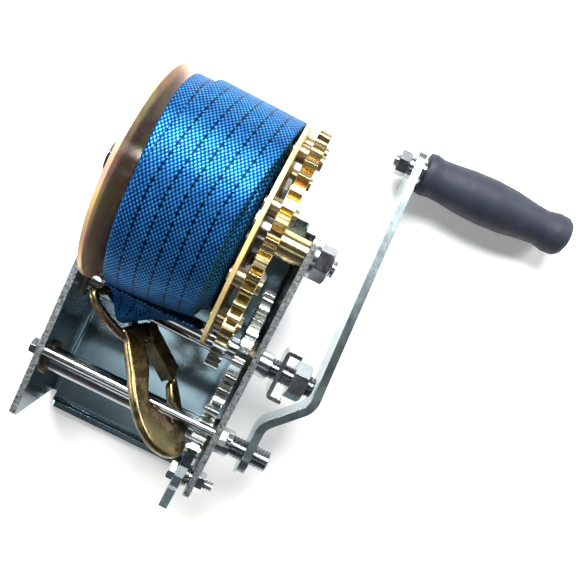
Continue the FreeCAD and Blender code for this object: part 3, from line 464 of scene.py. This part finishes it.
AXLE = Vector((0, 68, 69.5))
STRAP_LEFT = -31.5
THICK = 1.45
PITCH = 1.55
CORE = 20.3
ROLL = 56.0
LEAVES_AT = math.radians(172)
PER_TURN = 90
OUTER_STRAY = 7.2
NEXT_STRAY = -3.8
INNER_STRAY = 4.6
REAR_SLACK = 2.3
RIGHT_TIGHT = 4.0


def strap_section(gauge):
    """A strap's cross-section, across then out, with soft selvedges."""
    half = gauge / 2
    edge = [(0.0, 0.0), (0.35, half * 0.8), (1.2, half)]
    middle = [(STRAP_WIDTH * share / 6, half) for share in (1, 2, 3, 4, 5)]
    top = edge + middle + [(STRAP_WIDTH - across, out) for across, out in reversed(edge)]
    return top + [(across, -out) for across, out in reversed(top[1:-1])]


def wander(turn, angle):
    """How far a turn strays across: at the rear the outer one to the right and the next to the left."""
    rear = max(0.0, math.cos(angle))
    if turn > -1:
        return OUTER_STRAY * rear
    if turn > -2:
        return NEXT_STRAY * rear - 0.8 * math.sin(angle)
    drift = INNER_STRAY * min(1.0, (-turn - 2) / 3)
    return drift + 0.5 * math.sin(turn * 2.4) + 0.25 * math.sin(turn * 7.3)


def looseness(turn, angle, share):
    """How far out a turn lies from an even spiral: slack at the rear, tighter on the right at the front."""
    depth = 1 + turn * PITCH / (ROLL - CORE)
    slack = REAR_SLACK * max(0.0, 1 + turn / 3) * max(0.0, math.cos(angle))
    return slack - RIGHT_TIGHT * depth * share ** 2 * max(0.0, -math.cos(angle))


def wound_strap():
    """The strap wound in a spiral from the drum's core out to the turn that leaves the roll at the front."""
    turns = (ROLL - CORE - THICK / 2) / PITCH
    count = int(turns * PER_TURN)
    section = strap_section(THICK)
    ring = len(section)
    points = []
    uvs = []
    length = 0.0
    last_radius = CORE
    for index in range(count + 1):
        turn = (index - count) / PER_TURN
        angle = LEAVES_AT + turn * math.tau
        radius = ROLL - THICK / 2 + turn * PITCH
        length += (radius + last_radius) / 2 * math.tau / PER_TURN
        last_radius = radius
        shift = wander(turn, angle)
        for across, out in section:
            reach = radius + out + looseness(turn, angle, across / STRAP_WIDTH)
            point = Vector((STRAP_LEFT + across + shift, AXLE.y + reach * math.cos(angle),
                            AXLE.z + reach * math.sin(angle)))
            points.append(point * MM)
            uvs.append((across * MM, length * MM))
    faces = []
    for index in range(count):
        for side in range(ring):
            first = index * ring + side
            second = index * ring + (side + 1) % ring
            faces.append((first, first + ring, second + ring, second))
    faces.append(tuple(range(ring)))
    faces.append(tuple(reversed(range(count * ring, (count + 1) * ring))))
    roll = new_mesh("wound_strap", points, faces, STRAP)
    layer = roll.data.uv_layers.new(name="strap")
    for loop in roll.data.loops:
        layer.data[loop.index].uv = uvs[loop.vertex_index]
    smooth_by_angle(roll, 60)
    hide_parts("strap_roll")
    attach(roll, "drum")


def strap_end():
    """The strap's end, drawn in from the roll's width into the hook's eye and round its bar."""
    rows = [
        [(-32.4, 13.6, 84.0), (-20, 13.4, 84.0), (-8, 13.4, 84.0),
         (4, 13.4, 84.0), (16.4, 13.6, 84.0)],
        [(-31.0, 11.6, 77.0), (-20, 11.3, 77.0), (-8, 11.3, 77.0),
         (3, 11.4, 77.0), (14.0, 11.7, 77.0)],
        [(-28.5, 8.6, 73.0), (-20, 7.6, 72.4), (-9, 7.8, 72.0),
         (0, 8.8, 71.4), (8.0, 10.2, 71.0)],
        [(-26.4, 4.4, 71.0), (-20, 2.6, 70.8), (-12.5, 3.0, 70.0),
         (-7, 4.6, 69.0), (-1.5, 6.6, 68.0)],
        [(-24.2, 0.4, 69.8), (-20.6, -1.6, 69.8), (-16.5, -1.4, 69.0),
         (-13.0, 0.2, 67.6), (-9.6, 2.4, 66.0)],
        [(-22.6, -1.8, 68.4), (-20.4, -3.7, 68.0), (-18.4, -3.9, 67.2),
         (-16.4, -2.6, 65.8), (-14.4, -0.4, 64.2)],
        [(-23.0, -1.6, 65.8), (-21.4, -3.2, 64.8), (-19.8, -3.2, 63.8),
         (-18.2, -1.9, 62.6), (-16.8, 0.0, 61.4)],
        [(-26.0, 0.6, 62.6), (-24.8, 0.4, 61.0), (-23.6, 0.8, 59.4),
         (-22.6, 1.8, 57.8), (-21.8, 3.2, 56.4)],
        [(-31.2, 3.4, 61.6), (-30.2, 3.8, 59.8), (-29.2, 4.4, 58.0),
         (-28.2, 5.2, 56.4), (-27.6, 6.2, 55.4)],
        [(-35.0, 7.0, 65.0), (-34.2, 7.6, 63.0), (-33.2, 8.6, 61.0),
         (-32.2, 9.4, 59.4), (-31.4, 10.2, 58.0)],
        [(-34.6, 9.9, 68.6), (-32.6, 10.2, 68.4), (-30.2, 10.4, 68.2),
         (-28.2, 10.6, 68.0), (-26.4, 10.8, 68.0)],
    ]
    columns = 25
    per_row = 5
    level_length = 1.15
    fold_height = 0.55
    outward = Vector((0.54, 0.10, 0.57))
    lines = []
    for row in rows:
        smooth = open_line(row, 6)
        lines.append([smooth[round(step * (len(smooth) - 1) / (columns - 1))] for step in range(columns)])
    strips = [open_line([line[column] for line in lines], per_row) for column in range(columns)]
    depth = len(strips[0])
    points = []
    uvs = []
    for level in range(depth):
        along = level / per_row
        crumple = min(1.0, max(0.0, (along - 1.5) / 2.5)) * min(1.0, max(0.0, (8.5 - along) / 2))
        for column in range(columns):
            share = column / (columns - 1)
            fold = fold_height * crumple * math.sin(share * math.tau * 2.5 + along * 0.5)
            points.append((strips[column][level] + outward * fold) * MM)
            uvs.append((share * STRAP_WIDTH * MM, level * level_length * MM))
    faces = []
    for level in range(depth - 1):
        for column in range(columns - 1):
            first = level * columns + column
            faces.append((first, first + columns, first + columns + 1, first + 1))
    tail = new_mesh("strap_end", points, faces, STRAP)
    layer = tail.data.uv_layers.new(name="strap")
    for loop in tail.data.loops:
        layer.data[loop.index].uv = uvs[loop.vertex_index]
    thicken = tail.modifiers.new("thickness", "SOLIDIFY")
    thicken.thickness = 1.1 * MM
    thicken.offset = 0
    soften = tail.modifiers.new("soften", "SUBSURF")
    soften.levels = soften.render_levels = 1
    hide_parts("strap_tail")
    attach(tail, "hook")


# ---------------------------------------------------------------- the hook

HOOK_BASE = Vector((-30.7, 6.7, 61.8))
HOOK_PLACE = (Matrix.Translation(HOOK_BASE * MM) @ Matrix.Rotation(math.radians(48), 4, "Z")
              @ Matrix.Rotation(math.radians(178), 4, "X") @ Matrix.Rotation(math.radians(-55.5), 4, "Y"))
BLADE_GAUGE = 5.4
BLADE_EDGE = 1.9
EYE_WIRE = 2.4
LATCH_PIN = Vector((12.1, 25.6, 0))
LATCH_PLACE = HOOK_PLACE @ Matrix.Translation(LATCH_PIN * MM) @ Matrix.Rotation(math.radians(83.3), 4, "Z")


def forged_hook():
    """The blade with rounded edges, and the wire eye that grows out of its neck."""
    outline = [(-4.6, 19.5), (-5.2, 26), (-7.4, 32.7), (-10.5, 42.2), (-13.6, 50), (-15.6, 57),
               (-16.6, 63.2), (-16.8, 70), (-15.4, 77.6), (-12.2, 84.2), (-7.2, 89.4), (-1.6, 91.6),
               (3.0, 90.2), (5.8, 86.8), (9.2, 81), (11.4, 75.1), (13.3, 68.5), (15.2, 61.6),
               (16.4, 56.4), (15.6, 53.4), (13.8, 53.6), (13.2, 55.2), (11.1, 55.8), (9.2, 59),
               (7.5, 63.5), (7.3, 69.4), (6.4, 73), (4.2, 74.4), (1.6, 72.8), (-0.6, 68.8),
               (-2.7, 64.6), (-4.5, 60.6), (-4.7, 57), (-2.7, 52), (0.7, 46.5), (3.4, 41), (4.5, 35.5),
               (5.8, 31.2), (8.4, 29.4), (12.4, 29.8), (15.8, 28), (16.2, 24.4), (13.4, 21.6),
               (9, 20.6), (4.2, 20)]
    blade = plate("hook_blade", rounded_loop(outline, 5), BLADE_GAUGE, BLADE_EDGE, HOOK, HOOK_PLACE)
    eye = [(-10.4, -3.0, 0), (-4, -1.6, 0), (4, -0.4, 0), (8.2, 2.2, 0), (8.2, 9, 0), (6.2, 16, 0),
           (3.4, 22, 0), (-0.4, 25.4, 0), (-4.6, 22.6, 0), (-8.0, 16, 0), (-10.6, 9, 0), (-12.0, 2, 0)]
    ring = wire("hook_eye", rounded_loop(eye, 6), EYE_WIRE, HOOK, True, HOOK_PLACE)
    for piece in (blade, ring):
        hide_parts("hook_body")
        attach(piece, "hook")


def springs():
    """The pawl's coiled spring, and the two legs of the latch's bent wire."""
    coil = []
    start = Vector((45.75, -71, 45))
    radius = 5.5
    length = 2.1
    per_coil = 30
    steps = 90
    for step in range(steps + 1):
        angle = step / per_coil * math.tau
        turned = Vector((step / steps * length, radius * math.cos(angle), radius * math.sin(angle)))
        coil.append(start + turned)
    pawl_wire = wire("pawl_spring_wire", coil, 0.55, SPRING)
    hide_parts("pawl_spring")
    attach(pawl_wire, "frame")
    for side in (-1, 1):
        bend = [(-2.2, 1.2, side * 1.5), (0.5, 3.4, side * 1.6), (6, 2.2, side * 1.6), (14, 2.0, side * 1.5),
                (22, 2.2, side * 1.3), (26.6, 2.1, side * 0.6)]
        leg = wire(f"latch_spring_leg_{side + 2}", open_line(bend, 6), 0.45, SPRING, False, LATCH_PLACE)
        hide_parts("latch_spring")
        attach(leg, "latch")


wound_strap()
strap_end()
forged_hook()
springs()


# ---------------------------------------------------------------- floor, lights and camera

def studio():
    size = 4.0
    floor = new_mesh("floor", [(-size, -size, 0), (size, -size, 0), (size, size, 0), (-size, size, 0)],
                     [(0, 1, 2, 3)], floor_paper(), False)
    floor.location = (0, 0, -0.0002)
    world = bpy.data.worlds.new("studio")
    bpy.context.scene.world = world
    world.use_nodes = True
    tree = world.node_tree
    direction = tree.nodes.new("ShaderNodeTexCoord")
    split = tree.nodes.new("ShaderNodeSeparateXYZ")
    tree.links.new(direction.outputs["Generated"], split.inputs[0])
    sky = tree.nodes.new("ShaderNodeValToRGB")
    tree.links.new(split.outputs[2], sky.inputs["Fac"])
    band = sky.color_ramp
    shades = ((0.0, 0.5), (0.2, 0.28), (0.5, 0.09), (1.0, 0.04))
    while len(band.elements) < len(shades):
        band.elements.new(0.5)
    for element, (position, shade) in zip(band.elements, shades):
        element.position = position
        element.color = (shade * 0.94, shade * 0.98, shade, 1)
    tree.links.new(sky.outputs["Color"], tree.nodes["Background"].inputs["Color"])
    tree.nodes["Background"].inputs["Strength"].default_value = 1.0
    for name, place, aim, width, height, power, tint in (
            ("key", (-0.22, 0.80, 0.93), (0, 0.03, 0.05), 0.9, 0.5, 38, (1.0, 0.99, 0.97)),
            ("top", (-0.04, -0.28, 1.0), (0, -0.02, 0), 0.26, 0.18, 0.42, (0.88, 0.98, 1.0)),
            ("right", (0.80, 0.72, 0.55), (0, 0.03, 0.06), 0.4, 0.4, 7, (1.0, 0.98, 0.95)),
            ("left", (-0.95, -0.40, 0.45), (0, 0, 0.05), 0.2, 0.6, 3, (1.0, 0.98, 0.95))):
        data = bpy.data.lights.new(name, "AREA")
        data.shape = "RECTANGLE"
        data.size = width
        data.size_y = height
        data.energy = power
        data.color = tint
        lamp = bpy.data.objects.new(name, data)
        collection.objects.link(lamp)
        lamp.location = place
        lamp.rotation_euler = (Vector(aim) - Vector(place)).to_track_quat("-Z", "Y").to_euler()


def camera():
    data = bpy.data.cameras.new("camera")
    data.sensor_width = 36
    data.lens = 40.61
    data.clip_start = 0.01
    made = bpy.data.objects.new("camera", data)
    collection.objects.link(made)
    made.location = Vector((31.96, 77.60, 392.71)) * MM
    made.rotation_euler = Euler((math.radians(-5.7205), math.radians(-0.3068), math.radians(26.9223)), "XYZ")
    bpy.context.scene.camera = made
    bpy.context.scene.view_settings.view_transform = "Standard"


studio()
camera()
